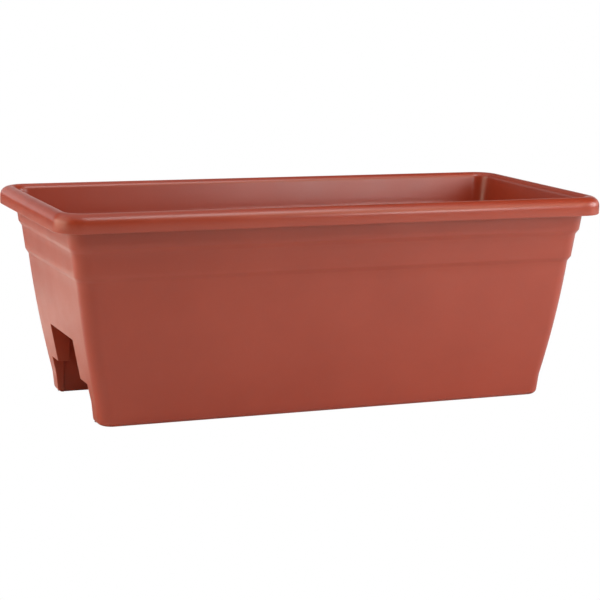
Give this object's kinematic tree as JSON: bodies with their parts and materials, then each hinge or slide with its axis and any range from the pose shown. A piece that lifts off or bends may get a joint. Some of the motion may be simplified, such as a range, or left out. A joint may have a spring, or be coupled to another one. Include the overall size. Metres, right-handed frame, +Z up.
{
  "type": "self watering planter",
  "caption": "Rectangular saddle planter with a rolled rim and a stepped rail channel, and watering troughs with platforms, wick baskets, fill shafts, floats and drain plugs.",
  "frame": {"origin": "centre of the bounding box at the underside, midway along and across the box", "axes": "+X along the box, towards the end with the fill shafts; +Y across it, towards the rear; +Z up"},
  "size_m": [0.61, 0.276, 0.223],
  "materials": {
    "terracotta": "satin moulded plastic, terracotta",
    "black_plastic": "matte black recycled plastic",
    "pale_foam": "pale matte float",
    "grey_rubber": "soft dark grey seal",
    "steel": "bright stainless pin"
  },
  "bodies": {
    "planter": {"planter_box": "terracotta"},
    "front_watering_unit": {"front_soil_platform": "black_plastic", "front_wick_basket_left": "black_plastic", "front_wick_basket_middle": "black_plastic", "front_wick_basket_right": "black_plastic", "front_fill_shaft": "terracotta", "front_lid_pin": "steel"},
    "front_lid": {"front_fill_lid": "terracotta"},
    "front_float": {"front_level_float": "pale_foam"},
    "front_drain": {"front_drain_plug": "black_plastic", "front_plug_seal": "grey_rubber"},
    "rear_watering_unit": {"rear_soil_platform": "black_plastic", "rear_wick_basket_left": "black_plastic", "rear_wick_basket_middle": "black_plastic", "rear_wick_basket_right": "black_plastic", "rear_fill_shaft": "terracotta", "rear_lid_pin": "steel"},
    "rear_lid": {"rear_fill_lid": "terracotta"},
    "rear_float": {"rear_level_float": "pale_foam"},
    "rear_drain": {"rear_drain_plug": "black_plastic", "rear_plug_seal": "grey_rubber"}
  },
  "joints": [
    {"name": "front_unit_lift", "type": "slide", "parent": "planter", "child": "front_watering_unit", "axis": [0, 0, 1], "range_m": [0, 0.225]},
    {"name": "front_lid_hinge", "type": "hinge", "parent": "front_watering_unit", "child": "front_lid", "pos_m": [0.1794, -0.0852, 0.1853], "axis": [0, -1, 0], "range_deg": [0, 110]},
    {"name": "front_float_travel", "type": "slide", "parent": "front_watering_unit", "child": "front_float", "axis": [0, 0, 1], "range_m": [0, 0.043]},
    {"name": "front_drain_pull", "type": "slide", "parent": "planter", "child": "front_drain", "axis": [0, 0, -1], "range_m": [0, 0.02]},
    {"name": "rear_unit_lift", "type": "slide", "parent": "planter", "child": "rear_watering_unit", "axis": [0, 0, 1], "range_m": [0, 0.225]},
    {"name": "rear_lid_hinge", "type": "hinge", "parent": "rear_watering_unit", "child": "rear_lid", "pos_m": [0.1794, 0.0852, 0.1853], "axis": [0, -1, 0], "range_deg": [0, 110]},
    {"name": "rear_float_travel", "type": "slide", "parent": "rear_watering_unit", "child": "rear_float", "axis": [0, 0, 1], "range_m": [0, 0.043]},
    {"name": "rear_drain_pull", "type": "slide", "parent": "planter", "child": "rear_drain", "axis": [0, 0, -1], "range_m": [0, 0.02]}
  ]
}
